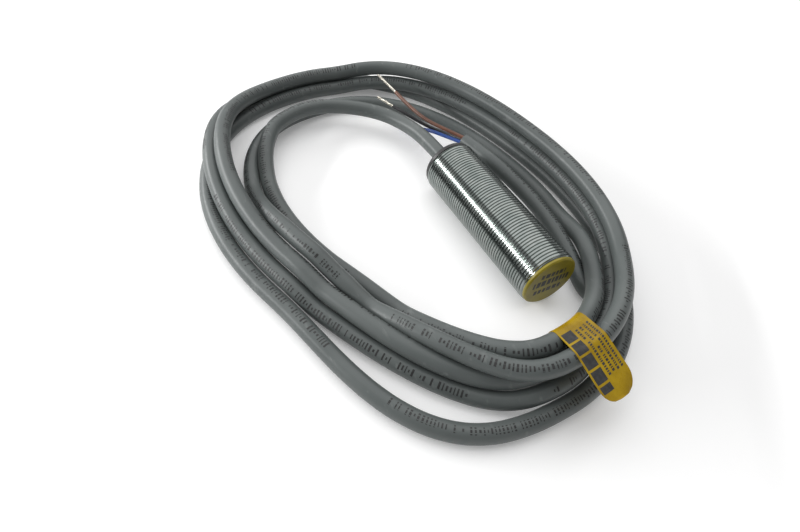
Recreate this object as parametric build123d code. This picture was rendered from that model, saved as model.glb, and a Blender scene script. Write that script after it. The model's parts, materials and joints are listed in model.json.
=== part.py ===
from build123d import *
import math
import os

os.makedirs("parts", exist_ok=True)

# A cylindrical inductive proximity sensor, M18x1, with its coiled cable.
# Frame: millimetres. X runs along the sensor and out of its active face, Z is up.
# The origin is on the surface that the sensor lies on, under the middle of its housing.

# Housing, along X
FRONT_X = 28.0
REAR_X = -28.0
THREAD_R = 9.0
AXIS_Z = THREAD_R
CAP_PROUD = 1.0
REAR_RING = 1.4
BARREL_FRONT_X = FRONT_X - CAP_PROUD
BARREL_REAR_X = REAR_X + REAR_RING
BARREL_CHAMFER = 0.6
BORE_R = 7.9
SLIP = 0.05

# Active face and the oscillator coil behind it
FACE_R = 8.7
FACE_CHAMFER = 0.4
FACE_WALL = 1.3
SKIRT_R = BORE_R - SLIP
SKIRT_INNER_R = 7.2
SKIRT_REAR_X = 13.0
SEAL_X = 24.0
SEAL_WIRE_R = 0.2
CORE_R = 7.1
CORE_REAR_X = 22.2
CORE_FRONT_X = FRONT_X - FACE_WALL - SLIP
CORE_GROOVE_X = 23.6
CORE_POST_R = 3.0
CORE_GROOVE_R = 5.8
BOBBIN_FLANGE = 0.4
BOBBIN_HUB_R = 3.6
WINDING_R = 5.5
CARRIER_REAR_X = 18.4
LEAD_R = 0.2
LEAD_Y = 4.4
LEAD_REAR_X = 15.5
LEAD_HOLE_R = 0.5

# Circuit board and what is soldered to it
BOARD_REAR_X = -14.0
BOARD_FRONT_X = 18.0
BOARD_WIDTH = 12.0
BOARD_THICKNESS = 1.0
BOARD_TOP_Z = AXIS_Z + BOARD_THICKNESS / 2
BOARD_BOTTOM_Z = AXIS_Z - BOARD_THICKNESS / 2
CHIP = (5.0, 4.0, 1.5)
CHIP_X = 6.0
CHIP_LEG = (0.4, 1.0, 0.4)
CHIP_LEG_PITCH = 1.27
TRANSISTOR = (2.5, 4.5, 1.5)
TRANSISTOR_X = -1.0
CAPACITOR = (1.2, 2.0, 1.0)
CAPACITOR_XS = (10.5, 12.6, 14.2)
RESISTOR = (1.6, 0.8, 0.5)
RESISTOR_XS = (-6.0, 0.0, 6.0, 12.0)
RESISTOR_YS = (-2.5, 2.5)
LED = (1.6, 1.2, 1.0)
LED_X = -7.5

# Rear end
REAR_CAP_R = 8.6
REAR_CAP_ROUND = 0.45
REAR_SKIRT_FRONT_X = -21.5
REAR_SKIRT_INNER_R = 6.6
GUIDE_R = 1.0
GUIDE_Z = AXIS_Z + 5.2
RESIN_REAR_X = -19.6
GROMMET_R = 3.6
GROMMET_FRONT_X = -23.0
GROMMET_CHAMFER = 0.5
GROMMET_COLLAR_R = 4.1
GROMMET_COLLAR_X = (-26.5, -25.7)
CABLE_EXIT_X = REAR_X
CRIMP_X = (-22.6, -21.0)
CRIMP_R = 3.5
SHEATH_FRONT_X = -20.2

# Cable, and how far its coil keeps from the thread
CABLE_R = 2.6
THREAD_CLEARANCE = 1.6
CLEAR_FRONT_X = 33.0
CORE_BORE_R = 1.7
WIRE_R = 0.65
WIRE_RING_R = 0.95
CORE_SETBACK = 0.2
CORE_STRAIGHT = 1.2
SPARE = 0.05
TIP_R = 0.5
TIP_GAP = 0.15

# The coil's outer shape: a tilted ring between two ovals, each with its length, width and middle
COIL_X = -20.0
COIL_Y = -19.0
COIL_TILT = 8.0
COIL_OUTER_SIZE = (166.0, 118.0)
COIL_OUTER_MIDDLE = (-1.0, 0.0)
COIL_INNER_SIZE = (119.0, 77.0)
COIL_INNER_MIDDLE = (1.5, 3.0)
COIL_HEIGHT = 15.6
COIL_LOW_HEIGHT = 12.4
COIL_LOW_BOX = (-110.0, -30.0, -20.0, 60.0)
LEAD_HOLLOW_FLOOR = 7.0
LEAD_HOLLOW_BOX = (-78.0, -45.0, -8.0, 14.0)
COIL_FOOT_ROUND = 1.5

# The label that ties the coil, and the free end of it that stands out
LABEL_WIDTH = 10.0
LABEL_THICKNESS = 0.4
LABEL_LOW_Z = 1.2
LABEL_SPARE = 4.0
LABEL_TAB = 3.0
LABEL_TAB_OVERLAP = 2.0

# Routes of the cable where it isn't coiled, and of the three stripped leads
EXIT_ROUTE = [
    (CABLE_EXIT_X, 0.0, AXIS_Z),
    (-41.0, 0.0, AXIS_Z),
    (-54.0, -1.0, 7.5),
    (-65.5, -6.5, 7.0),
    (-73.5, -17.0, 7.0),
    (-77.0, -30.0, 7.5),
]
TAIL_ROUTE = [
    (31.0, 12.5, 3.0),
    (16.5, 18.0, 3.5),
    (0.0, 20.0, 5.0),
    (-15.5, 17.5, 7.5),
    (-28.0, 14.5, 8.9),
    (-37.2, 12.4, 8.9),
]
WIRE_ROUTES = {
    "brown": [
        (-37.45, 12.3, 9.9),
        (-43.6, 9.0, 9.9),
        (-51.2, 5.0, 9.9),
        (-60.0, 2.8, 10.4),
        (-70.0, 1.8, 11.1),
    ],
    "black": [
        (-37.7, 13.1, 8.4),
        (-44.5, 11.2, 6.9),
        (-51.5, 7.0, 6.3),
        (-58.0, 3.0, 7.3),
        (-66.2, -1.0, 8.0),
    ],
    "blue": [
        (-37.2, 11.5, 8.4),
        (-43.4, 8.2, 7.8),
        (-49.6, 5.8, 6.6),
        (-55.4, 5.2, 3.6),
        (-64.2, 0.8, 3.3),
    ],
}
TIP_ENDS = {
    "brown": (-79.6, -1.2, 13.6),
    "black": (-73.0, -4.2, 8.6),
    "blue": (-67.8, -1.4, 3.2),
}
CONDUCTOR_ANGLES = {"black": 90, "brown": 210, "blue": 330}
PAD_YS = {"black": 0.0, "brown": -3.0, "blue": 3.0}
PAD_X = -11.0
PAD_APPROACH = 4.5
SOLDER_R = 0.75


def rod(x0, x1, radius, y=0.0, z=AXIS_Z):
    """A round bar along X from x0 to x1."""
    ends = (Align.CENTER, Align.CENTER, Align.MIN)
    return Pos(x0, y, z) * Rot(0, 90, 0) * Cylinder(radius, x1 - x0, align=ends)


def sleeve(x0, x1, outer_r, inner_r):
    """A tube along X on the sensor's axis."""
    return rod(x0, x1, outer_r) - rod(x0, x1, inner_r)


def on_board(size, x, y=0.0):
    """A block that stands on the board's top face."""
    return Pos(x, y, BOARD_TOP_Z + size[2] / 2) * Box(*size)


def rim(shape, radius, x):
    """The round edges of that radius about the sensor's axis, at x."""
    edges = shape.edges().filter_by(GeomType.CIRCLE)
    return [e for e in edges if abs(e.radius - radius) < 1e-3 and abs(e.center().X - x) < 1e-3]


def tube(route, radius, report=None):
    """A round tube along straight runs joined by arcs, each as large as its two runs allow."""
    points = [Vector(p) for p in route]
    radii = []
    for before, here, after in zip(points, points[1:], points[2:]):
        turn = (here - before).get_angle(after - here)
        shorter = min((here - before).length, (after - here).length)
        radii.append(0.45 * shorter / math.tan(math.radians(turn / 2)))
    path = FilletPolyline(*points, radius=radii)
    solid = sweep(Plane(path @ 0, z_dir=path % 0) * Circle(radius), path)
    if report:
        share = solid.volume / (math.pi * radius**2 * path.length)
        radii_text = " ".join(f"{r:.0f}" for r in radii)
        print(f"{report}: length {path.length:.1f}, radii {radii_text}, volume share {share:.3f}")
    return solid


def threaded_barrel():
    barrel = sleeve(BARREL_REAR_X, BARREL_FRONT_X, THREAD_R, BORE_R)
    ends = rim(barrel, THREAD_R, BARREL_FRONT_X) + rim(barrel, THREAD_R, BARREL_REAR_X)
    return chamfer(ends, BARREL_CHAMFER)


def seal_ring():
    groove_centre = SKIRT_R - SEAL_WIRE_R + SLIP / 2
    return Pos(SEAL_X, 0, AXIS_Z) * Rot(0, 90, 0) * Torus(groove_centre, SEAL_WIRE_R)


def front_cap():
    face = rod(BARREL_FRONT_X, FRONT_X, FACE_R)
    face = chamfer(rim(face, FACE_R, FRONT_X), FACE_CHAMFER)
    cap = face + rod(SKIRT_REAR_X, BARREL_FRONT_X, SKIRT_R)
    cap -= rod(SKIRT_REAR_X, FRONT_X - FACE_WALL, SKIRT_INNER_R)
    groove_x = (SEAL_X - SEAL_WIRE_R - SLIP, SEAL_X + SEAL_WIRE_R + SLIP)
    groove_floor = SKIRT_R - 2 * SEAL_WIRE_R
    return cap - (rod(*groove_x, SKIRT_R + 1) - rod(*groove_x, groove_floor - SLIP))


def lead_rods(x0, x1, radius):
    return [rod(x0, x1, radius, y, BOARD_TOP_Z + LEAD_R + SPARE) for y in (-LEAD_Y, LEAD_Y)]


def ferrite_core():
    core = rod(CORE_REAR_X, CORE_FRONT_X, CORE_R)
    core -= sleeve(CORE_GROOVE_X, CORE_FRONT_X, CORE_GROOVE_R, CORE_POST_R)
    return core - lead_rods(CORE_REAR_X, CORE_GROOVE_X, LEAD_HOLE_R)


def coil_bobbin():
    rear = CORE_GROOVE_X + SPARE
    front = CORE_FRONT_X - SPARE
    hub_bore = CORE_POST_R + SPARE
    flange_r = CORE_GROOVE_R - SPARE
    hub = sleeve(rear, front, BOBBIN_HUB_R, hub_bore)
    rear_flange = sleeve(rear, rear + BOBBIN_FLANGE, flange_r, hub_bore)
    return hub + rear_flange + sleeve(front - BOBBIN_FLANGE, front, flange_r, hub_bore)


def coil_winding():
    rear = CORE_GROOVE_X + 2 * SPARE + BOBBIN_FLANGE
    front = CORE_FRONT_X - 2 * SPARE - BOBBIN_FLANGE
    return sleeve(rear, front, WINDING_R, BOBBIN_HUB_R + SPARE)


def core_carrier():
    disc = rod(CARRIER_REAR_X, CORE_REAR_X - SPARE, CORE_R)
    return disc - lead_rods(CARRIER_REAR_X, CORE_REAR_X, LEAD_HOLE_R)


def circuit_board():
    length = BOARD_FRONT_X - BOARD_REAR_X
    centre = (BOARD_FRONT_X + BOARD_REAR_X) / 2
    return Pos(centre, 0, AXIS_Z) * Box(length, BOARD_WIDTH, BOARD_THICKNESS)


def sensor_chip():
    chip = on_board(CHIP, CHIP_X)
    for index in range(4):
        x = CHIP_X + (index - 1.5) * CHIP_LEG_PITCH
        for side in (-1, 1):
            chip += on_board(CHIP_LEG, x, side * (CHIP[1] + CHIP_LEG[1]) / 2)
    return chip


def capacitors():
    return Compound(children=[on_board(CAPACITOR, x) for x in CAPACITOR_XS])


def resistors():
    z = BOARD_BOTTOM_Z - RESISTOR[2] / 2
    return Compound(children=[Pos(x, y, z) * Box(*RESISTOR) for x in RESISTOR_XS for y in RESISTOR_YS])


def light_guide(spare=0.0):
    """A clear pin through the rear cap that turns down to the indicator on the board."""
    radius = GUIDE_R + spare
    foot_z = BOARD_TOP_Z + LED[2] + SPARE - spare
    pin = rod(REAR_X, LED_X + radius, radius, 0.0, GUIDE_Z)
    upright = (Align.CENTER, Align.CENTER, Align.MIN)
    return pin + Pos(LED_X, 0, foot_z) * Cylinder(radius, GUIDE_Z - foot_z, align=upright)


def rear_cap():
    ring = rod(REAR_X, BARREL_REAR_X, REAR_CAP_R)
    ring = fillet(rim(ring, REAR_CAP_R, REAR_X), REAR_CAP_ROUND)
    cap = ring + sleeve(BARREL_REAR_X, REAR_SKIRT_FRONT_X, SKIRT_R, REAR_SKIRT_INNER_R)
    cap -= rod(REAR_X, BARREL_REAR_X, GROMMET_R + SPARE)
    return cap - rod(REAR_X, BARREL_REAR_X, GUIDE_R + SPARE, 0.0, GUIDE_Z)


def cable_grommet():
    grommet = rod(CABLE_EXIT_X, GROMMET_FRONT_X, GROMMET_R)
    grommet = chamfer(rim(grommet, GROMMET_R, CABLE_EXIT_X), GROMMET_CHAMFER)
    grommet += rod(*GROMMET_COLLAR_X, GROMMET_COLLAR_R)
    return grommet - rod(CABLE_EXIT_X, GROMMET_FRONT_X, CABLE_R + SPARE)


def conductor(colour, radius=WIRE_R):
    """One insulated core, from inside the sheath to its pad on the board."""
    angle = math.radians(CONDUCTOR_ANGLES[colour])
    y = WIRE_RING_R * math.cos(angle)
    z = AXIS_Z + WIRE_RING_R * math.sin(angle)
    pad_y = PAD_YS[colour]
    pad_z = BOARD_TOP_Z + WIRE_R + SPARE
    route = [
        (CABLE_EXIT_X + CORE_SETBACK, y, z),
        (SHEATH_FRONT_X + CORE_STRAIGHT, y, z),
        (PAD_X - PAD_APPROACH, pad_y, pad_z + SPARE),
        (PAD_X, pad_y, pad_z),
    ]
    return tube(route, radius)


def solder_joints():
    x = PAD_X + SOLDER_R + SPARE
    domes = []
    for y in PAD_YS.values():
        block = Pos(x, y, BOARD_TOP_Z + SOLDER_R) * Box(4 * SOLDER_R, 4 * SOLDER_R, 2 * SOLDER_R)
        domes.append(Pos(x, y, BOARD_TOP_Z) * Sphere(SOLDER_R) & block)
    return Compound(children=domes)


def potting_resin():
    """Casting resin from the rear cap to the carrier, round everything on the board."""
    resin = rod(RESIN_REAR_X, SKIRT_REAR_X - SPARE, SKIRT_R)
    resin += rod(SKIRT_REAR_X - SPARE, CARRIER_REAR_X - SPARE, SKIRT_INNER_R - SPARE)
    tallest = max(CHIP[2], TRANSISTOR[2], SOLDER_R, 2 * (WIRE_R + SPARE)) + SPARE
    lowest = RESISTOR[2] + SPARE
    pocket_length = BOARD_FRONT_X - BOARD_REAR_X + 4 * SPARE
    pocket_height = tallest + BOARD_THICKNESS + lowest
    pocket_z = BOARD_BOTTOM_Z - lowest + pocket_height / 2
    centre = (BOARD_FRONT_X + BOARD_REAR_X) / 2
    resin -= Pos(centre, 0, pocket_z) * Box(pocket_length, BOARD_WIDTH + 2 * SPARE, pocket_height)
    for colour in CONDUCTOR_ANGLES:
        resin -= conductor(colour, WIRE_R + SPARE)
    resin -= lead_rods(LEAD_REAR_X, CARRIER_REAR_X, LEAD_HOLE_R)
    return resin - light_guide(SPARE)


def coil_oval(size, middle, grow):
    length, width = size
    return Pos(*middle) * Ellipse(length / 2 + grow, width / 2 + grow)


def coil_ring(grow=0.0):
    outer = coil_oval(COIL_OUTER_SIZE, COIL_OUTER_MIDDLE, grow)
    inner = coil_oval(COIL_INNER_SIZE, COIL_INNER_MIDDLE, -grow)
    return Pos(COIL_X, COIL_Y) * Rot(0, 0, COIL_TILT) * extrude(outer - inner, COIL_HEIGHT + grow)


def above(box, floor):
    """The space over a rectangle, from a floor to the coil's top."""
    x0, x1, y0, y1 = box
    height = COIL_HEIGHT - floor
    return Pos((x0 + x1) / 2, (y0 + y1) / 2, floor + height / 2) * Box(x1 - x0, y1 - y0, height)


def cable_coil():
    """The outer shape of the bundle of turns, lower where the leads lie across it."""
    ring = coil_ring()
    ring = fillet(ring.edges().group_by(Axis.Z)[0], COIL_FOOT_ROUND)
    ring -= above(COIL_LOW_BOX, COIL_LOW_HEIGHT) + above(LEAD_HOLLOW_BOX, LEAD_HOLLOW_FLOOR)
    return ring - rod(REAR_X, CLEAR_FRONT_X, THREAD_R + THREAD_CLEARANCE)


def coil_label():
    """The wrap label: a band over the bundle, with a flat free end on its outer side."""
    outer_reach = COIL_OUTER_SIZE[0] / 2 + COIL_OUTER_MIDDLE[0]
    inner_reach = COIL_INNER_SIZE[0] / 2 + COIL_INNER_MIDDLE[0]
    turn = Pos(COIL_X, COIL_Y, 0) * Rot(0, 0, COIL_TILT)
    span = outer_reach - inner_reach + 2 * LABEL_SPARE
    height = COIL_HEIGHT + LABEL_SPARE
    slab = Pos((inner_reach + outer_reach) / 2, 0, LABEL_LOW_Z + height / 2)
    slab *= Box(span, LABEL_WIDTH, height)
    band = (coil_ring(LABEL_THICKNESS) - coil_ring()) & (turn * slab)
    tab = turn * Pos(outer_reach + (LABEL_TAB - LABEL_TAB_OVERLAP) / 2, 0, LABEL_LOW_Z + LABEL_THICKNESS / 2)
    tab *= Box(LABEL_TAB + LABEL_TAB_OVERLAP, LABEL_WIDTH, LABEL_THICKNESS)
    return band + (tab - coil_ring())


def wire(colour):
    return tube(WIRE_ROUTES[colour], WIRE_R, f"{colour} lead")


def wire_tip(colour):
    insulation_end = Vector(WIRE_ROUTES[colour][-1])
    along = Vector(TIP_ENDS[colour]) - insulation_end
    start = insulation_end + along.normalized() * TIP_GAP
    upright = (Align.CENTER, Align.CENTER, Align.MIN)
    return Plane(start, z_dir=along) * Cylinder(TIP_R, along.length - TIP_GAP, align=upright)


def build():
    coil = cable_coil()
    parts = {
        "threaded_barrel": threaded_barrel(),
        "front_cap": front_cap(),
        "cap_seal": seal_ring(),
        "ferrite_core": ferrite_core(),
        "coil_bobbin": coil_bobbin(),
        "coil_winding": coil_winding(),
        "core_carrier": core_carrier(),
        "coil_leads": Compound(children=lead_rods(LEAD_REAR_X, CORE_GROOVE_X, LEAD_R)),
        "circuit_board": circuit_board(),
        "sensor_chip": sensor_chip(),
        "output_transistor": on_board(TRANSISTOR, TRANSISTOR_X),
        "capacitors": capacitors(),
        "resistors": resistors(),
        "status_led": on_board(LED, LED_X),
        "light_guide": light_guide(),
        "potting_resin": potting_resin(),
        "rear_cap": rear_cap(),
        "cable_grommet": cable_grommet(),
        "crimp_ring": sleeve(*CRIMP_X, CRIMP_R, CABLE_R + SPARE),
        "cable_sheath_end": sleeve(CABLE_EXIT_X, SHEATH_FRONT_X, CABLE_R, CORE_BORE_R),
        "solder_joints": solder_joints(),
        "cable_coil": coil,
        "cable_exit": tube(EXIT_ROUTE, CABLE_R, "cable_exit") - coil,
        "cable_tail": tube(TAIL_ROUTE, CABLE_R, "cable_tail") - coil,
        "coil_label": coil_label(),
    }
    for colour in WIRE_ROUTES:
        parts[f"{colour}_conductor"] = conductor(colour)
        parts[f"{colour}_wire"] = wire(colour)
        parts[f"{colour}_wire_tip"] = wire_tip(colour)
    return parts


for name, part in build().items():
    export_step(part, f"parts/{name}.step")
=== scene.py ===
import bpy
import bmesh
import json
import math
import random
from mathutils import Matrix, Vector

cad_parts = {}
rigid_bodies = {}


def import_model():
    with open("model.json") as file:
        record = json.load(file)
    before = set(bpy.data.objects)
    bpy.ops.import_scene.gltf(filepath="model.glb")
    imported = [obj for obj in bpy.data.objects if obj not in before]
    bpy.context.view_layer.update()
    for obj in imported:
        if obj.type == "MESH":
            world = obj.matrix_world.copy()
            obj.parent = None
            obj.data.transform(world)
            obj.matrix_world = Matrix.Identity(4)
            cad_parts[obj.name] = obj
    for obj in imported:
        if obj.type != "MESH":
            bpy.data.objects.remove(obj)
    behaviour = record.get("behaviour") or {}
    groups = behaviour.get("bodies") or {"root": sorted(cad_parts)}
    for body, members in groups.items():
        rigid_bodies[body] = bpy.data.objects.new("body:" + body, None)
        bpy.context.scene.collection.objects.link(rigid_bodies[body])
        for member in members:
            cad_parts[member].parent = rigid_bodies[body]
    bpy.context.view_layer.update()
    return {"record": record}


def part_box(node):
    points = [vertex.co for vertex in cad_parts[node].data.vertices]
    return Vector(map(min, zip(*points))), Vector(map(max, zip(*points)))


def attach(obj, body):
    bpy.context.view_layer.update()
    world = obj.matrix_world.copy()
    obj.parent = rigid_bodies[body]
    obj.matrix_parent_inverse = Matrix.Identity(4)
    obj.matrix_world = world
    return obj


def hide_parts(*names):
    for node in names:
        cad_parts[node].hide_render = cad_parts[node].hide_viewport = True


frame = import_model()
MM = 0.001

# Camera: the point it looks at and where it stands round that point, in millimetres and degrees, its sensor
# and lens in millimetres, and what it sees from near to far, in metres
CAMERA_AIM = (-0.5, -32.0, 0.0)
CAMERA_DISTANCE = 168.0
CAMERA_AZIMUTH = -34.3
CAMERA_ELEVATION = 48.2
CAMERA_ROLL = 8.5
CAMERA_SENSOR = 36.0
CAMERA_LENS = 25.2
CAMERA_CLIP = (0.005, 20.0)

# Cable and its leads, in millimetres in the record's frame. The routes are those of the CAD tubes.
CABLE_R = 2.6
WIRE_R = 0.65
CURVE_STEPS = 12
CURVE_SIDES = 6
EXIT_ROUTE = [
    (-28.0, 0.0, 9.0),
    (-41.0, 0.0, 9.0),
    (-54.0, -1.0, 7.5),
    (-65.5, -6.5, 7.0),
    (-73.5, -17.0, 7.0),
    (-77.0, -30.0, 7.5),
]
TAIL_ROUTE = [
    (31.0, 12.5, 3.0),
    (16.5, 18.0, 3.5),
    (0.0, 20.0, 5.0),
    (-15.5, 17.5, 7.5),
    (-28.0, 14.5, 8.9),
    (-37.2, 12.4, 8.9),
]
WIRE_ROUTES = {
    "brown": [
        (-37.45, 12.3, 9.9),
        (-43.6, 9.0, 9.9),
        (-51.2, 5.0, 9.9),
        (-60.0, 2.8, 10.4),
        (-70.0, 1.8, 11.1),
    ],
    "black": [
        (-37.7, 13.1, 8.4),
        (-44.5, 11.2, 6.9),
        (-51.5, 7.0, 6.3),
        (-58.0, 3.0, 7.3),
        (-66.2, -1.0, 8.0),
    ],
    "blue": [
        (-37.2, 11.5, 8.4),
        (-43.4, 8.2, 7.8),
        (-49.6, 5.8, 6.6),
        (-55.4, 5.2, 3.6),
        (-64.2, 0.8, 3.3),
    ],
}
TIP_ENDS = {
    "brown": (-79.6, -1.2, 13.6),
    "black": (-73.0, -4.2, 8.6),
    "blue": (-67.8, -1.4, 3.2),
}

# The loose coil, round its middle. Each turn is an oval of four quarters: its reach to the rear, the near
# side, the front and the far side, which lie at the bearings, and how full it is between near side and
# front, where the inner turns run straighter. The other quarters share one fullness.
COIL_X = -20.0
COIL_Y = -19.0
COIL_BEARINGS = (189.0, 290.0, 358.0, 458.0, 549.0)
COIL_FULLNESS = 2.3
TURNS = [
    (60.0, 34.5, 67.0, 45.5, 1.6),
    (62.0, 40.5, 73.0, 53.4, 1.7),
    (76.5, 45.5, 70.5, 53.3, 1.9),
    (73.5, 54.5, 79.0, 54.0, 2.6),
    (80.0, 49.5, 74.5, 43.5, 1.8),
]
STEPS_PER_TURN = 48
FIRST_STEP = 2
LAST_STEP = 220

# How the turns lie on each other: their order from the floor up, how many steps of its own line a stretch
# doesn't rest on, the steepest slope down from a crossing, and how near two middle lines may come
LAY_ORDER = (3, 4, 2, 1, 0)
SELF_STEPS = 10
HUMP_SLOPE = 0.3
LAY_GAP = 5.5
STRETCH_PIECES = 8

# Thread of the barrel, broad-crested, with a pitch of 1 mm. Each corner of its profile is the share of the
# pitch along it and the depth under the crest.
THREAD_PITCH = 1.0
THREAD_PROFILE = ((0.0, 0.0), (0.50, 0.0), (0.70, 0.4), (0.80, 0.4))
THREAD_SIDES = 160
THREAD_SHARP = 28.0
THREAD_CHAMFER = 0.6
THREAD_SPARE_TURNS = 2
BARREL_WALL = 1.1
WELD = 1e-7

# Print along the cable: groups of plain separate bars, so that no shape reads as a letter
PRINT_SEED = 7
PRINT_START = 60.0
PRINT_GROUP = 96.0
PRINT_GAP = 20.0
PRINT_WIDTHS = (0.25, 0.6)
PRINT_SPACE = 0.55
PRINT_HEIGHTS = (1.9, 1.9, 1.3, 0.7)
PRINT_SKIPPED = 0.16
PRINT_LIFT = 0.02

# The line of print winds from one side of the cable's top to the other: by how many degrees, and how slowly
PRINT_LEAN = 48.0
PRINT_TWIST = 210.0

# Wrap label over the bundle. It starts over the inner strand, at a reach and bearing from the coil's middle,
# runs outward at the skew's bearing, and falls no faster than the slope. Behind the start it wraps round
# the inner strand by that many degrees.
LABEL_LENGTH = 20.0
LABEL_WIDTH = 12.0
LABEL_THICKNESS = 0.14
LABEL_START_REACH = 63.5
LABEL_ANGLE = 9.0
LABEL_SKEW = 0.0
LABEL_FALL = 0.22
LABEL_ROWS = 58
LABEL_COLUMNS = 16
LABEL_END_ROUND = 4.0
LABEL_WRAP = 115.0
LABEL_WRAP_STEPS = 9
LABEL_SHARP = 40.0
SMOOTH_PASSES = 2

# Ink on the label, in shares of its length and width
LABEL_SEED = 5
BLOCKS = ((0.02, 0.17), (0.20, 0.36), (0.39, 0.55), (0.58, 0.74), (0.77, 0.86))
BLOCK_ACROSS = (0.04, 0.34)
BAR_ROWS = (0.42, 0.56, 0.70, 0.84)
BAR_ROW_WIDTH = 0.07
BAR_SPAN = (0.06, 0.72)
BAR_LENGTHS = (0.010, 0.032)
BAR_SPACE = 0.012
BAR_SKIPPED = 0.12
PATCH_STEPS = 8

# Tinned lead ends: strands twisted round a middle one
STRAND_R = 0.16
STRAND_RING_R = 0.31
STRANDS = 6
STRAND_TWISTS = 2.2
STRAND_STEPS = 40
TUBE_SIDES = 8
STRAND_SHARP = 50.0

# The strands' loose ends: from what share of the length they spread, how much, and how uneven they are cut
FRAY_START = 0.75
FRAY_SPREAD = 0.35
FRAY_CUT = 0.03

# Marks on the active face: rows of bars, each with its height on the face, half length and bar height
FACE_SEED = 11
FACE_MARK_LIFT = 0.03
FACE_ROWS = ((3.4, 4.2, 1.7), (0.4, 6.2, 2.3), (-3.1, 5.0, 1.7))
FACE_BAR_WIDTHS = (0.6, 1.5)
FACE_BAR_GAPS = (0.4, 0.6)
FACE_SHARP = 30.0

# Studio, in metres. Each light has its azimuth and elevation in degrees, its distance, its size and
# its power in watts.
FLOOR_HALF = 3.0
FLOOR_DROP = 0.0001
FLOOR_GLOW = 0.16
WORLD_LIGHT = 0.38
LIGHTS = {
    "key": (-127.0, 20.0, 0.6, (0.6, 0.03), 3.0),
    "top": (160.0, 60.0, 1.2, (2.0, 2.0), 15.0),
}


def mm(point):
    """A point given in millimetres, in metres."""
    return Vector(point) * MM


def plan_direction(bearing):
    """The unit vector in plan at that bearing in degrees."""
    return Vector((math.cos(math.radians(bearing)), math.sin(math.radians(bearing))))


# ---------------------------------------------------------------- curves


def nurbs(name, points, radius=0.0):
    """A round cord along one smooth spline with those control points, in millimetres."""
    data = bpy.data.curves.new(name, "CURVE")
    data.dimensions = "3D"
    data.resolution_u = CURVE_STEPS
    data.bevel_depth = radius * MM
    data.bevel_resolution = CURVE_SIDES
    data.use_fill_caps = True
    spline = data.splines.new("NURBS")
    spline.points.add(len(points) - 1)
    for target, point in zip(spline.points, points):
        target.co = (*mm(point), 1.0)
    spline.order_u = 3
    spline.use_endpoint_u = True
    piece = bpy.data.objects.new(name, data)
    bpy.context.collection.objects.link(piece)
    return piece


def centreline(points):
    """The smooth line through space that a cord with those control points follows, in metres."""
    guide = nurbs("guide", points)
    guide.data.use_fill_caps = False
    mesh = bpy.data.meshes.new_from_object(guide)
    line = [v.co.copy() for v in mesh.vertices]
    bpy.data.objects.remove(guide)
    return line


def oval_point(step):
    """Where the coil passes at that step, in plan: a quarter oval between each reach and the next."""
    reaches = [reach for *four, _ in TURNS for reach in four]
    quarter = 4 * step / STEPS_PER_TURN
    i = int(quarter)
    fullness = TURNS[i // 4][-1] if i % 4 == 1 else COIL_FULLNESS
    swing = math.radians(90 * (quarter - i))
    start_share = (math.cos(swing) / reaches[i]) ** fullness
    end_share = (math.sin(swing) / reaches[i + 1]) ** fullness
    reach = (start_share + end_share) ** (-1 / fullness)
    start, end = COIL_BEARINGS[i % 4], COIL_BEARINGS[i % 4 + 1]
    angle = math.radians(start + (end - start) * (quarter - i))
    return Vector((COIL_X + reach * math.cos(angle), COIL_Y + reach * math.sin(angle)))


def resting_height(point, below):
    """The height at which the cable lies at a point, over the stretches that are already there."""
    height = CABLE_R
    for place, other in below:
        gap = (point - place).length
        if gap < LAY_GAP:
            height = max(height, other + math.sqrt(LAY_GAP**2 - gap**2))
    return height


def stretch_between(start, end):
    """Places and heights along one run of a route."""
    points = [Vector(start).lerp(Vector(end), k / STRETCH_PIECES) for k in range(STRETCH_PIECES)]
    return [(p.xy, p.z) for p in points]


def ease(heights, plan):
    """Long low humps: the cable comes down from a crossing at a steady slope."""
    steps = range(1, len(plan))
    for order in (steps, reversed(steps)):
        for i in order:
            drop = HUMP_SLOPE * (plan[i] - plan[i - 1]).length
            low, high = sorted((i - 1, i), key=lambda k: heights[k])
            heights[low] = max(heights[low], heights[high] - drop)


def turn_points():
    """The coil's turns, laid one on another in their order."""
    plan = [oval_point(step) for step in range(FIRST_STEP, LAST_STEP + 1)]
    heights = [CABLE_R] * len(plan)
    laid = []
    tail = []
    for turn in LAY_ORDER:
        fresh = [i for i in range(len(plan)) if (i + FIRST_STEP) // STEPS_PER_TURN == turn]
        for i in fresh:
            below = [(plan[j], heights[j]) for j in laid if abs(i - j) > SELF_STEPS]
            heights[i] = max(heights[i], resting_height(plan[i], below + tail))
        laid += fresh
        ease(heights, plan)
        if turn == len(TURNS) - 1:
            onward = [(*plan[-1], heights[-1])] + TAIL_ROUTE
            tail = [s for pair in zip(onward, onward[1:]) for s in stretch_between(*pair)]
    return [(p.x, p.y, z) for p, z in zip(plan, heights)]


CABLE_ROUTE = EXIT_ROUTE + turn_points() + TAIL_ROUTE


# ---------------------------------------------------------------- materials


# Noise: the span of its values that counts, and the fine grain of moulded and plated parts to a millimetre
NOISE_SPAN = (0.3, 0.7)
FINE_GRAIN = 4.0
FINE_DETAIL = 6.0

# The sheath and the label: the tones they run between and their roughness, and the sheath's rub marks
SHEATH_TONES = ((0.080, 0.092, 0.090), (0.104, 0.117, 0.114))
SHEATH_ROUGH = (0.34, 0.48)
SHEATH_WORN = (0.17, 0.182, 0.178)
RUB_MOST = 0.6
RUB_SPAN = (0.62, 0.74)
LABEL_TONES = ((0.27, 0.165, 0.003), (0.42, 0.275, 0.006))
LABEL_ROUGH = (0.24, 0.38)


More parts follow.
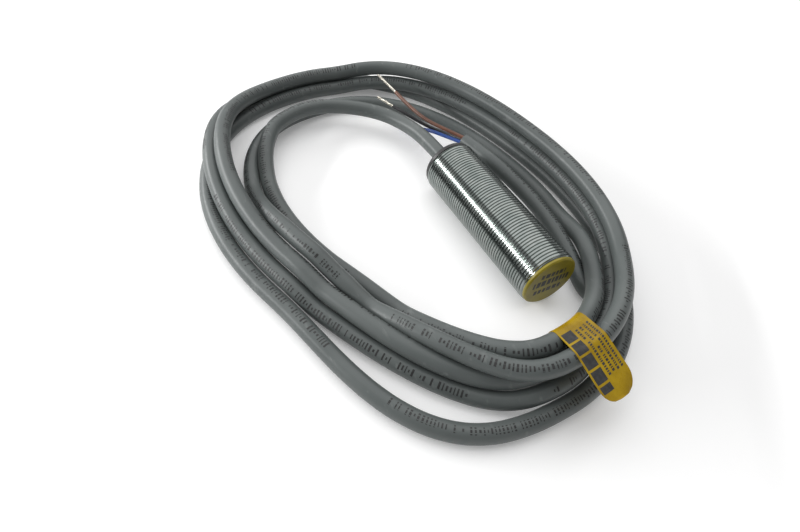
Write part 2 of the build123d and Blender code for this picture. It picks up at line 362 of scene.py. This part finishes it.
def shaded(name, roughness, metallic=0.0, **sockets):
    """A material whose even values sit on the shader's own sockets."""
    mat = bpy.data.materials.new(name)
    mat.use_nodes = True
    shader = mat.node_tree.nodes["Principled BSDF"]
    shader.inputs["Roughness"].default_value = roughness
    shader.inputs["Metallic"].default_value = metallic
    for socket, value in sockets.items():
        shader.inputs[socket.replace("_", " ")].default_value = value
    return mat, mat.node_tree.nodes, mat.node_tree.links, shader


def noise(nodes, links, per_mm, detail=4.0, stretch=(1.0, 1.0, 1.0)):
    """Noise in the frame's own space, with that many grains to a millimetre."""
    place = nodes.new("ShaderNodeTexCoord")
    scale = nodes.new("ShaderNodeMapping")
    scale.inputs["Scale"].default_value = [per_mm / MM * s for s in stretch]
    links.new(place.outputs["Object"], scale.inputs["Vector"])
    grain = nodes.new("ShaderNodeTexNoise")
    grain.inputs["Scale"].default_value = 1.0
    grain.inputs["Detail"].default_value = detail
    links.new(scale.outputs["Vector"], grain.inputs["Vector"])
    return grain.outputs["Fac"]


def ramp(nodes, links, source, low, high, start=0.35, end=0.65):
    """A blend between two colours over a span of that source."""
    blend = nodes.new("ShaderNodeValToRGB")
    blend.color_ramp.elements[0].position = start
    blend.color_ramp.elements[1].position = end
    blend.color_ramp.elements[0].color = (*low, 1.0)
    blend.color_ramp.elements[1].color = (*high, 1.0)
    links.new(source, blend.inputs["Fac"])
    return blend.outputs["Color"]


def span(nodes, links, source, low, high):
    """The noise's usual span mapped onto a range of numbers."""
    mapped = nodes.new("ShaderNodeMapRange")
    mapped.inputs["From Min"].default_value = NOISE_SPAN[0]
    mapped.inputs["From Max"].default_value = NOISE_SPAN[1]
    mapped.inputs["To Min"].default_value = low
    mapped.inputs["To Max"].default_value = high
    links.new(source, mapped.inputs["Value"])
    return mapped.outputs["Result"]


def bump(nodes, links, source, shader, depth_mm, strength):
    """Relief from the source, that deep in millimetres."""
    relief = nodes.new("ShaderNodeBump")
    relief.inputs["Strength"].default_value = strength
    relief.inputs["Distance"].default_value = depth_mm * MM
    links.new(source, relief.inputs["Height"])
    links.new(relief.outputs["Normal"], shader.inputs["Normal"])


def grained(name, low, high, rough, metallic=0.0, tone=0.3, depth=0.02, strength=0.3):
    """Broad tone between two colours, a fine grain, and gloss that varies between two roughnesses."""
    mat, nodes, links, shader = shaded(name, sum(rough) / 2, metallic)
    broad = noise(nodes, links, tone)
    fine = noise(nodes, links, FINE_GRAIN, FINE_DETAIL)
    links.new(ramp(nodes, links, broad, low, high), shader.inputs["Base Color"])
    links.new(span(nodes, links, fine, *rough), shader.inputs["Roughness"])
    bump(nodes, links, fine, shader, depth, strength)
    return mat


def cable_grey():
    """Soft PVC: slightly mottled, with pale rub marks and a fine satin grain."""
    mat, nodes, links, shader = shaded("cable_pvc", 0.4, Specular_IOR_Level=0.42)
    broad = noise(nodes, links, per_mm=0.05, detail=3.0)
    body = ramp(nodes, links, broad, *SHEATH_TONES)
    rubs = noise(nodes, links, per_mm=0.35, detail=8.0, stretch=(0.5, 1.6, 1.0))
    worn = nodes.new("ShaderNodeMix")
    worn.data_type = "RGBA"
    worn.inputs["B"].default_value = (*SHEATH_WORN, 1.0)
    links.new(body, worn.inputs["A"])
    rubbed = ramp(nodes, links, rubs, (0.0, 0.0, 0.0), (RUB_MOST, RUB_MOST, RUB_MOST), *RUB_SPAN)
    links.new(rubbed, worn.inputs["Factor"])
    links.new(worn.outputs["Result"], shader.inputs["Base Color"])
    fine = noise(nodes, links, per_mm=6.0, detail=5.0)
    links.new(span(nodes, links, fine, *SHEATH_ROUGH), shader.inputs["Roughness"])
    bump(nodes, links, fine, shader, depth_mm=0.012, strength=0.25)
    return mat


# Each finish: the two colours that its tone runs between, and the two roughnesses
PLAIN_FINISHES = {
    "yellow_plastic": ((0.20, 0.160, 0.003), (0.27, 0.215, 0.005), (0.34, 0.46)),
    "black_plastic": ((0.012, 0.012, 0.013), (0.026, 0.026, 0.027), (0.35, 0.5)),
    "seal_rubber": ((0.010, 0.010, 0.010), (0.022, 0.021, 0.020), (0.6, 0.8)),
    "ferrite": ((0.045, 0.043, 0.042), (0.085, 0.082, 0.080), (0.55, 0.75)),
    "natural_plastic": ((0.62, 0.58, 0.48), (0.72, 0.68, 0.58), (0.4, 0.55)),
    "board_green": ((0.010, 0.085, 0.032), (0.018, 0.130, 0.050), (0.25, 0.4)),
    "chip_black": ((0.015, 0.015, 0.016), (0.035, 0.035, 0.037), (0.5, 0.65)),
    "ceramic": ((0.42, 0.33, 0.22), (0.55, 0.45, 0.32), (0.35, 0.5)),
    "led_amber": ((0.80, 0.33, 0.02), (0.90, 0.42, 0.04), (0.12, 0.2)),
    "casting_resin": ((0.020, 0.019, 0.018), (0.040, 0.038, 0.036), (0.2, 0.4)),
    "core_brown": ((0.105, 0.036, 0.016), (0.150, 0.054, 0.026), (0.3, 0.42)),
    "core_blue": ((0.012, 0.055, 0.260), (0.020, 0.085, 0.360), (0.3, 0.42)),
    "core_black": ((0.010, 0.010, 0.011), (0.022, 0.022, 0.024), (0.3, 0.42)),
}
INK = ((0.010, 0.010, 0.010), (0.030, 0.030, 0.030), (0.4, 0.6))
FLOOR_WHITE = ((0.88, 0.88, 0.88), (0.90, 0.90, 0.90), (0.55, 0.65))
METAL_FINISHES = {
    "plated_metal": ((0.22, 0.245, 0.235), (0.28, 0.30, 0.288), (0.14, 0.18)),
    "copper": ((0.72, 0.34, 0.18), (0.86, 0.45, 0.26), (0.25, 0.4)),
    "tinned_metal": ((0.56, 0.53, 0.46), (0.74, 0.71, 0.64), (0.24, 0.4)),
}


def clear_plastic():
    """Clear moulded plastic with a faint haze."""
    mat, nodes, links, shader = shaded("clear_plastic", 0.1, Transmission_Weight=1.0, IOR=1.49)
    haze = noise(nodes, links, per_mm=1.5)
    tint = ramp(nodes, links, haze, low=(0.90, 0.92, 0.93), high=(0.97, 0.98, 0.98))
    links.new(tint, shader.inputs["Base Color"])
    links.new(span(nodes, links, haze, low=0.06, high=0.16), shader.inputs["Roughness"])
    return mat


def label_yellow():
    """Printed paper: warm yellow that darkens in broad patches, with a fibre grain and a soft gloss."""
    mat, nodes, links, shader = shaded("label_paper", 0.3, Specular_IOR_Level=0.2)
    broad = noise(nodes, links, per_mm=0.16, detail=3.0)
    fibre = noise(nodes, links, per_mm=3.0, detail=6.0, stretch=(1.0, 2.5, 1.0))
    links.new(ramp(nodes, links, broad, *LABEL_TONES), shader.inputs["Base Color"])
    links.new(span(nodes, links, fibre, *LABEL_ROUGH), shader.inputs["Roughness"])
    bump(nodes, links, fibre, shader, depth_mm=0.02, strength=0.25)
    return mat


def finishes():
    """One material for each slot of the record."""
    made = {slot: grained(slot, *look) for slot, look in PLAIN_FINISHES.items()}
    for slot, look in METAL_FINISHES.items():
        made[slot] = grained(slot, *look, metallic=1.0, depth=0.002, strength=0.15)
    made["cable_grey"] = cable_grey()
    made["clear_plastic"] = clear_plastic()
    made["label_yellow"] = label_yellow()
    made["ink"] = grained("print_ink", *INK, tone=0.8)
    return made


FINISH = finishes()


def finish_cad_nodes():
    """Give each carried-over CAD node the finish of its slot."""
    for part in frame["record"]["subparts"]:
        node = bpy.data.objects[part["node"]]
        for slot in node.material_slots:
            slot.material = FINISH[part["material_slot"]]


# ---------------------------------------------------------------- meshes


def add_piece(name, bm, slot, material=None, sharp=None, replaces=()):
    """Put a finished mesh in the scene, riding on the body, with the given material or else its slot's
    finish, and hide the CAD parts it replaces.
    """
    mesh = bpy.data.meshes.new(name)
    bm.normal_update()
    bm.to_mesh(mesh)
    bm.free()
    mesh.materials.append(material or FINISH[slot])
    mesh.shade_smooth()
    if sharp:
        mesh.set_sharp_from_angle(angle=math.radians(sharp))
    piece = bpy.data.objects.new(name, mesh)
    bpy.context.collection.objects.link(piece)
    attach(piece, "root")
    if replaces:
        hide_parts(*replaces)
    return piece


def skin_rings(bm, rings):
    """Join rings of vertices with faces, each ring to the next."""
    for lower, upper in zip(rings, rings[1:]):
        for k in range(len(lower)):
            after = (k + 1) % len(lower)
            bm.faces.new((lower[k], lower[after], upper[after], upper[k]))


def tube(bm, line, radius):
    """A round strand along a line of points, closed at both ends."""
    rings = []
    side = (line[1] - line[0]).orthogonal().normalized()
    for i, point in enumerate(line):
        along = (line[min(i + 1, len(line) - 1)] - line[max(i - 1, 0)]).normalized()
        side = (side - side.dot(along) * along).normalized()
        across = along.cross(side)
        ring = []
        for k in range(TUBE_SIDES):
            swing = 2 * math.pi * k / TUBE_SIDES
            ring.append(bm.verts.new(point + radius * (math.cos(swing) * side + math.sin(swing) * across)))
        rings.append(ring)
    skin_rings(bm, rings)
    bm.faces.new(reversed(rings[0]))
    bm.faces.new(rings[-1])


# ---------------------------------------------------------------- threaded barrel


def thread_rows():
    """Rows of the helix: how far along the barrel at angle zero, and the depth under the crest."""
    low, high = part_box("threaded_barrel")
    turns = math.ceil((high[0] - low[0]) / MM / THREAD_PITCH) + 2 * THREAD_SPARE_TURNS
    start = low[0] / MM - THREAD_SPARE_TURNS * THREAD_PITCH
    return [
        (start + (turn + share) * THREAD_PITCH, depth)
        for turn in range(turns)
        for share, depth in THREAD_PROFILE
    ]


def threaded_barrel():
    """The barrel as a real helical thread that runs out at both chamfers, with its bore."""
    low, high = (Vector(corner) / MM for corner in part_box("threaded_barrel"))
    crest_r = (high.z - low.z) / 2
    axis_z = (high.z + low.z) / 2
    bm = bmesh.new()

    def vertex(x, radius, angle):
        return bm.verts.new(mm((x, radius * math.cos(angle), axis_z + radius * math.sin(angle))))

    angles = [2 * math.pi * k / THREAD_SIDES for k in range(THREAD_SIDES)]
    rows = []
    for base, depth in thread_rows():
        row = []
        for k, angle in enumerate(angles):
            x = min(max(base + THREAD_PITCH * k / THREAD_SIDES, low.x), high.x)
            cone = crest_r - THREAD_CHAMFER + min(x - low.x, high.x - x)
            row.append(vertex(x, min(crest_r - depth, cone) if low.x < x < high.x else cone, angle))
        rows.append(row)
    per_turn = len(THREAD_PROFILE)
    for r in range(len(rows) - 1):
        for k in range(THREAD_SIDES):
            if k + 1 < THREAD_SIDES:
                far, far_next = rows[r][k + 1], rows[r + 1][k + 1]
            else:
                far = rows[min(r + per_turn, len(rows) - 1)][0]
                far_next = rows[min(r + 1 + per_turn, len(rows) - 1)][0]
            corners = (rows[r][k], rows[r + 1][k], far_next, far)
            if len(set(corners)) > 2:
                bm.faces.new(dict.fromkeys(corners))
    bore = [[vertex(x, crest_r - BARREL_WALL, angle) for angle in angles] for x in (high.x, low.x)]
    skin_rings(bm, [rows[-1]] + bore + [rows[0]])
    bmesh.ops.remove_doubles(bm, verts=bm.verts, dist=WELD)
    bmesh.ops.dissolve_degenerate(bm, dist=WELD, edges=bm.edges)
    bmesh.ops.recalc_face_normals(bm, faces=bm.faces)
    add_piece("barrel_thread", bm, "plated_metal", sharp=THREAD_SHARP, replaces=("threaded_barrel",))


# ---------------------------------------------------------------- active face


def face_marks():
    """Plain generic marks on the active face: rows of short bars, their widths and gaps drawn at random."""
    low, high = (Vector(corner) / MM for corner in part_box("front_cap"))
    face_x = high.x + FACE_MARK_LIFT
    axis_z = (high.z + low.z) / 2
    bm = bmesh.new()

    def patch(y0, y1, z0, z1):
        corners = ((y0, z0), (y1, z0), (y1, z1), (y0, z1))
        bm.faces.new([bm.verts.new(mm((face_x, y, axis_z + z))) for y, z in corners])

    draw = random.Random(FACE_SEED)
    for row_z, half, height in FACE_ROWS:
        y = -half
        while y < half:
            width = draw.uniform(*FACE_BAR_WIDTHS)
            patch(y, min(y + width, half), row_z - height / 2, row_z + height / 2)
            y += width + draw.uniform(*FACE_BAR_GAPS)
    solid = bmesh.ops.extrude_face_region(bm, geom=bm.faces[:])
    raised = [v for v in solid["geom"] if isinstance(v, bmesh.types.BMVert)]
    bmesh.ops.translate(bm, verts=raised, vec=mm((-2 * FACE_MARK_LIFT, 0, 0)))
    bmesh.ops.recalc_face_normals(bm, faces=bm.faces)
    add_piece("face_marks", bm, "black_plastic", FINISH["ink"], sharp=FACE_SHARP)


# ---------------------------------------------------------------- cable


def cable():
    """The whole cable, from the rear cap to where its jacket ends."""
    piece = nurbs("cable", CABLE_ROUTE, CABLE_R)
    piece.data.materials.append(FINISH["cable_grey"])
    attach(piece, "root")
    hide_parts("cable_exit", "cable_coil", "cable_tail")
    mm(EXIT_ROUTE[0])


class Path:
    """The cable's middle line, read by how far along it a point is, in millimetres."""

    def __init__(self, points):
        self.line = [p / MM for p in centreline(points)]
        self.reach = [0.0]
        for a, b in zip(self.line, self.line[1:]):
            self.reach.append(self.reach[-1] + (b - a).length)
        self.at = 0

    def place(self, distance):
        """The point and the direction there; asked in rising order."""
        while self.at < len(self.line) - 2 and self.reach[self.at + 1] < distance:
            self.at += 1
        a, b = self.line[self.at], self.line[self.at + 1]
        along = (b - a).normalized()
        return a + along * (distance - self.reach[self.at]), along


def printed_bar(bm, path, start, length, height):
    """A bar of ink on the sheath: that long along the cable, and that high round it."""
    middle = Vector((COIL_X, COIL_Y, 0))
    rows = []
    for distance in (start, start + length):
        point, along = path.place(distance)
        outward = (point - middle) * Vector((1, 1, 0))
        up = (Vector((0, 0, 1)) - along.z * along).normalized()
        side = along.cross(up)
        if side.dot(outward) < 0:
            side = -side
        lean = math.radians(PRINT_LEAN) * math.sin(distance / PRINT_TWIST)
        row = []
        for share in (-0.5, 0.0, 0.5):
            swing = lean + height * share / CABLE_R
            direction = math.cos(swing) * up + math.sin(swing) * side
            row.append(bm.verts.new(mm(point + (CABLE_R + PRINT_LIFT) * direction)))
        rows.append(row)
    near, far = rows
    for k in range(len(near) - 1):
        bm.faces.new((near[k], near[k + 1], far[k + 1], far[k]))


def cable_print():
    """Groups of plain separate bars along the sheath, their widths and heights drawn at random."""
    path = Path(CABLE_ROUTE)
    bm = bmesh.new()
    draw = random.Random(PRINT_SEED)
    position = PRINT_START
    while position < path.reach[-1] - PRINT_GROUP:
        end = position + PRINT_GROUP
        while position < end:
            width = draw.uniform(*PRINT_WIDTHS)
            height = draw.choice(PRINT_HEIGHTS)
            if draw.random() > PRINT_SKIPPED:
                printed_bar(bm, path, position, width, height)
            position += width + PRINT_SPACE
        position += PRINT_GAP
    bmesh.ops.recalc_face_normals(bm, faces=bm.faces)
    add_piece("cable_print", bm, "core_black", FINISH["ink"])


# ---------------------------------------------------------------- leads


def lead_tip(colour):
    """Tinned strands twisted together, from the insulation's end to the tip."""
    start = Vector(WIRE_ROUTES[colour][-1])
    end = Vector(TIP_ENDS[colour])
    along = (end - start).normalized()
    side = along.orthogonal().normalized()
    across = along.cross(side)
    bm = bmesh.new()
    tube(bm, [mm(start), mm(end)], STRAND_R * MM)
    for strand in range(STRANDS):
        line = []
        for step in range(STRAND_STEPS + 1):
            share = step / STRAND_STEPS
            swing = 2 * math.pi * (strand / STRANDS + STRAND_TWISTS * share)
            ring = STRAND_RING_R * (1 + FRAY_SPREAD * max(0.0, share - FRAY_START) * (strand % 3))
            offset = ring * (math.cos(swing) * side + math.sin(swing) * across)
            line.append(mm(start.lerp(end, share * (1 - FRAY_CUT * (strand % 4))) + offset))
        tube(bm, line, STRAND_R * MM)
    name = f"{colour}_lead_strands"
    return add_piece(name, bm, "tinned_metal", sharp=STRAND_SHARP, replaces=(f"{colour}_wire_tip",))


def leads():
    """The three insulated leads, each with its bare end."""
    for colour, route in WIRE_ROUTES.items():
        tip = lead_tip(colour)
        piece = nurbs(f"{colour}_lead", route, WIRE_R)
        piece.data.materials.append(FINISH[f"core_{colour}"])
        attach(piece, "root")
        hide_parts(f"{colour}_wire")
        mm(route[0])


# ---------------------------------------------------------------- label


def taut(profile):
    """The upper hull of a profile of places and heights: a sheet pulled tight over it."""
    hull = []
    for point in profile:
        while len(hull) > 1:
            (x0, z0), (x1, z1) = hull[-2:]
            if (x1 - x0) * (point[1] - z0) < (z1 - z0) * (point[0] - x0):
                break
            hull.pop()
        hull.append(point)
    heights = []
    k = 0
    for x, _ in profile:
        while k < len(hull) - 2 and hull[k + 1][0] < x:
            k += 1
        (x0, z0), (x1, z1) = hull[k], hull[k + 1]
        heights.append(z0 + (z1 - z0) * (x - x0) / (x1 - x0))
    return heights


def label_axes():
    """The label's start over the inner strand, the way it runs outward, and its width's direction."""
    start = Vector((COIL_X, COIL_Y)) + LABEL_START_REACH * plan_direction(LABEL_ANGLE)
    along = plan_direction(LABEL_SKEW)
    return start, along, Vector((-along.y, along.x))


def crossing(line, start, across, aside):
    """Where a line in space first comes that far aside of a place, measured across in plan."""
    for a, b in zip(line, line[1:]):
        before, after = ((p.xy - start).dot(across) - aside for p in (a, b))
        if before <= 0 < after:
            return a.lerp(b, before / (before - after))
    return line[-1]


def label_heights(places, near):
    """How high the label lies at those places along one column, over the strands near it."""
    tops = []
    for place in places:
        gaps = [((p.xy - place).length, p.z) for p in near]
        over = [z + math.sqrt(CABLE_R**2 - gap**2) for gap, z in gaps if gap < CABLE_R]
        tops.append(max(over, default=0.0))
    heights = taut([(LABEL_LENGTH * r / LABEL_ROWS, z) for r, z in enumerate(tops)])
    for r in range(LABEL_ROWS):
        heights[r + 1] = max(heights[r + 1], heights[r] - LABEL_FALL * LABEL_LENGTH / LABEL_ROWS)
    return heights


def label_grid():
    """Points of the label's lower face, from the inner strand outward: rows along it, columns across it."""
    start, along, across = label_axes()
    line = [p / MM for p in centreline(CABLE_ROUTE)]
    middle = start + along * LABEL_LENGTH / 2
    near = [p for p in line if (p.xy - middle).length < LABEL_LENGTH]
    inner = [p for p in line[: len(line) // 4] if (p.xy - start).length < 2 * LABEL_WIDTH]
    columns = []
    for c in range(LABEL_COLUMNS + 1):
        seat = crossing(inner, start, across, (c / LABEL_COLUMNS - 0.5) * LABEL_WIDTH)
        wrap = []
        for k in range(LABEL_WRAP_STEPS, 0, -1):
            swing = math.radians(LABEL_WRAP * k / LABEL_WRAP_STEPS)
            back = seat.xy - along * CABLE_R * math.sin(swing)
            wrap.append(Vector((*back, seat.z + CABLE_R * math.cos(swing))))
        places = [seat.xy + along * (LABEL_LENGTH * r / LABEL_ROWS) for r in range(LABEL_ROWS + 1)]
        heights = label_heights(places, near)
        columns.append(wrap + [Vector((*p, z)) for p, z in zip(places, heights)])
    return [list(row) for row in zip(*columns)]


def smooth_grid(rows):
    """Even out the heights between neighbours, never below where they were."""
    for _ in range(SMOOTH_PASSES):
        before = [[p.z for p in row] for row in rows]
        for r, row in enumerate(rows):
            for c, point in enumerate(row):
                around = [
                    before[i][j]
                    for i in range(max(r - 1, 0), min(r + 2, len(rows)))
                    for j in range(max(c - 1, 0), min(c + 2, len(row)))
                ]
                point.z = max(point.z, sum(around) / len(around))


def lifted(rows, lift):
    """The label's grid moved out along its own normals."""
    last, side = len(rows) - 1, len(rows[0]) - 1
    grid = []
    for r, row in enumerate(rows):
        line = []
        for c, point in enumerate(row):
            along = rows[min(r + 1, last)][c] - rows[max(r - 1, 0)][c]
            across = row[min(c + 1, side)] - row[max(c - 1, 0)]
            line.append(point + along.cross(across).normalized() * lift)
        grid.append(line)
    return grid


def label_point(rows, along_share, across_share):
    """A point on the label's grid, by shares of its length and width."""
    r = along_share * (len(rows) - 1)
    c = across_share * (len(rows[0]) - 1)
    i, j = min(int(r), len(rows) - 2), min(int(c), len(rows[0]) - 2)
    first = rows[i][j].lerp(rows[i][j + 1], c - j)
    last = rows[i + 1][j].lerp(rows[i + 1][j + 1], c - j)
    return first.lerp(last, r - i)


def round_end(rows):
    """Draw the columns in towards the free end, which is rounded."""
    for r, row in enumerate(rows):
        left = LABEL_LENGTH * (len(rows) - 1 - r) / LABEL_ROWS
        if left >= LABEL_END_ROUND:
            continue
        share = 1 - left / LABEL_END_ROUND
        width = 1 - 2 * LABEL_END_ROUND / LABEL_WIDTH * (1 - math.sqrt(1 - share**2))
        middle = row[len(row) // 2].copy()
        for point in row:
            point.xy = middle.xy.lerp(point.xy, width)


def label_patch(bm, rows, along_range, across_range):
    """Ink on the label over a range of its length and width."""
    grid = []
    for k in range(PATCH_STEPS + 1):
        share = along_range[0] + (along_range[1] - along_range[0]) * k / PATCH_STEPS
        line = []
        for m in range(PATCH_STEPS + 1):
            width = across_range[0] + (across_range[1] - across_range[0]) * m / PATCH_STEPS
            line.append(bm.verts.new(mm(label_point(rows, share, width))))
        grid.append(line)
    for first, second in zip(grid, grid[1:]):
        for m in range(PATCH_STEPS):
            bm.faces.new((first[m], first[m + 1], second[m + 1], second[m]))


def label_print(rows):
    """Generic blocks along one edge and rows of short bars beside them."""
    bm = bmesh.new()
    draw = random.Random(LABEL_SEED)
    for block in BLOCKS:
        label_patch(bm, rows, block, BLOCK_ACROSS)
    for across in BAR_ROWS:
        share, end = BAR_SPAN
        while share < end:
            length = draw.uniform(*BAR_LENGTHS)
            if draw.random() > BAR_SKIPPED:
                label_patch(bm, rows, (share, share + length), (across, across + BAR_ROW_WIDTH))
            share += length + BAR_SPACE
    bmesh.ops.recalc_face_normals(bm, faces=bm.faces)
    add_piece("label_print", bm, "core_black", FINISH["ink"])


def label():
    """The label as a thin closed sheet, with its ink on the outer face."""
    rows = label_grid()
    smooth_grid(rows[LABEL_WRAP_STEPS:])
    round_end(rows)
    label_print(lifted(rows, LABEL_THICKNESS + PRINT_LIFT)[LABEL_WRAP_STEPS:])
    bm = bmesh.new()
    lower = [[bm.verts.new(mm(p)) for p in row] for row in rows]
    upper = [[bm.verts.new(mm(p)) for p in row] for row in lifted(rows, LABEL_THICKNESS)]
    rims = [low_row + high_row[::-1] for low_row, high_row in zip(lower, upper)]
    skin_rings(bm, rims)
    bm.faces.new(rims[0])
    bm.faces.new(rims[-1])
    bmesh.ops.recalc_face_normals(bm, faces=bm.faces)
    add_piece("wrap_label", bm, "label_yellow", sharp=LABEL_SHARP, replaces=("coil_label",))


# ---------------------------------------------------------------- stage


def sky_direction(azimuth, elevation):
    """The unit vector at that azimuth and elevation in degrees."""
    turn, rise = math.radians(azimuth), math.radians(elevation)
    return Vector((math.cos(rise) * math.cos(turn), math.cos(rise) * math.sin(turn), math.sin(rise)))


def camera():
    """A camera at its distance from the aim, looking at it, rolled about its own line of sight."""
    data = bpy.data.cameras.new("camera")
    data.sensor_width = CAMERA_SENSOR
    data.lens = CAMERA_LENS
    data.clip_start, data.clip_end = CAMERA_CLIP
    piece = bpy.data.objects.new("camera", data)
    bpy.context.collection.objects.link(piece)
    back = sky_direction(CAMERA_AZIMUTH, CAMERA_ELEVATION)
    place = mm(Vector(CAMERA_AIM) + CAMERA_DISTANCE * back)
    facing = back.to_track_quat("Z", "Y").to_matrix().to_4x4()
    roll = Matrix.Rotation(math.radians(CAMERA_ROLL), 4, "Z")
    piece.matrix_world = Matrix.Translation(place) @ facing @ roll
    bpy.context.scene.camera = piece


def area_light(name, azimuth, elevation, distance, size, power):
    """A soft light round the object, aimed at the frame's origin."""
    data = bpy.data.lights.new(name, "AREA")
    data.shape = "RECTANGLE"
    data.size, data.size_y = size
    data.energy = power
    piece = bpy.data.objects.new(name, data)
    bpy.context.collection.objects.link(piece)
    away = sky_direction(azimuth, elevation)
    piece.location = distance * away
    piece.rotation_euler = (-away).to_track_quat("-Z", "Y").to_euler()


def floor():
    """A wide white floor that glows a little, as a sheet lit from below does."""
    mesh = bpy.data.meshes.new("floor")
    ways = ((-1, -1), (1, -1), (1, 1), (-1, 1))
    corners = [(FLOOR_HALF * x, FLOOR_HALF * y, -FLOOR_DROP) for x, y in ways]
    mesh.from_pydata(corners, [], [(0, 1, 2, 3)])
    piece = bpy.data.objects.new("floor", mesh)
    bpy.context.collection.objects.link(piece)
    paper = grained("floor_white", *FLOOR_WHITE, tone=0.01)
    glow = paper.node_tree.nodes["Principled BSDF"]
    glow.inputs["Emission Color"].default_value = (1.0, 1.0, 1.0, 1.0)
    glow.inputs["Emission Strength"].default_value = FLOOR_GLOW
    mesh.materials.append(paper)


def studio():
    """Even white light from all round, and the lights."""
    world = bpy.data.worlds.new("studio")
    bpy.context.scene.world = world
    world.use_nodes = True
    background = world.node_tree.nodes["Background"]
    background.inputs["Color"].default_value = (1.0, 1.0, 1.0, 1.0)
    background.inputs["Strength"].default_value = WORLD_LIGHT
    for name, placing in LIGHTS.items():
        area_light(name, *placing)
    bpy.context.scene.view_settings.view_transform = "Standard"


finish_cad_nodes()
threaded_barrel()
face_marks()
cable()
cable_print()
leads()
label()
camera()
floor()
studio()
